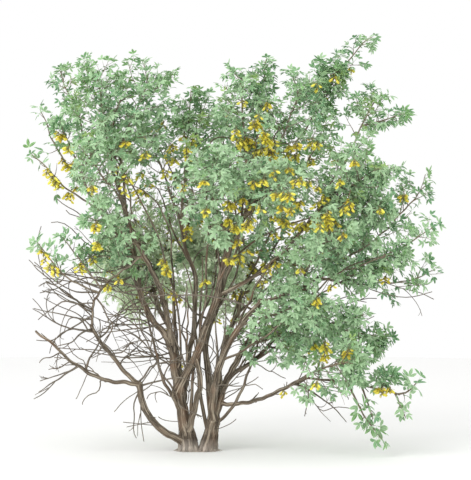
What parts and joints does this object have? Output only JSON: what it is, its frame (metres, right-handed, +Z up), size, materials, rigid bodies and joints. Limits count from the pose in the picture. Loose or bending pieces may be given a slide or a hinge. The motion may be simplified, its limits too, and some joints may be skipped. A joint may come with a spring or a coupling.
{
  "type": "bean trefoil shrub",
  "caption": "Broad multi-stemmed flowering shrub with crooked stems, three-lobed foliage in the crown and a net of bare dead twigs low on one side.",
  "frame": {"origin": "middle of the flat cut under the root crown, at ground level", "axes": "+Z up, +X to the right of the shrub seen from its front, -Y to the front"},
  "size_m": [2.3465, 1.5408, 2.3913],
  "materials": {
    "bark": "rough fibrous bark, dark grey-brown with reddish patches",
    "foliage": "matt leaves, blue-green with pale edges, and yellow blossom",
    "dead_twigs": "dry grey-brown twigs"
  },
  "bodies": {
    "root": {"bare_high_left": "dead_twigs", "bare_inner_left": "dead_twigs", "bare_left": "dead_twigs", "bare_low_left": "dead_twigs", "bare_low_right": "dead_twigs", "centre_bough": "bark", "centre_crown": "foliage", "centre_left_crown": "foliage", "centre_right_crown": "foliage", "centre_side_bough": "bark", "centre_stem": "bark", "centre_top": "foliage", "elbow_bough": "bark", "far_right_stem": "bark", "front_centre": "foliage", "front_right": "foliage", "inner_left_stem": "bark", "inner_right_stem": "bark", "left_crown": "foliage", "left_crown_bough": "bark", "left_front_clump": "foliage", "left_high_bough": "bark", "left_inner_crown": "foliage", "left_low_clump": "foliage", "left_low_shoot": "foliage", "left_shoot_high": "foliage", "left_shoot_low": "foliage", "left_top_shoot": "foliage", "long_right_bough": "bark", "low_left_bough": "bark", "low_right_arm": "bark", "low_right_bough": "bark", "low_right_clump": "foliage", "low_right_end": "foliage", "low_right_hanging": "foliage", "low_stem": "bark", "main_left_stem": "bark", "mid_stem": "bark", "middle_right_stem": "bark", "outer_left_stem": "bark", "outer_right_stem": "bark", "rear_crown_centre": "foliage", "rear_crown_left": "foliage", "rear_crown_right": "foliage", "rear_left_stem": "bark", "rear_low": "foliage", "rear_right_low": "foliage", "rear_right_stem": "bark", "right_front_crown": "foliage", "right_high_bough": "bark", "right_low_front": "foliage", "right_low_side": "foliage", "right_outer_crown": "foliage", "right_shoot_high": "foliage", "right_shoot_low": "foliage", "right_shoot_middle": "foliage", "right_upper_shoot": "foliage", "rising_bough": "bark", "root_crown": "bark", "top_right_shoot": "foliage"}
  },
  "joints": []
}
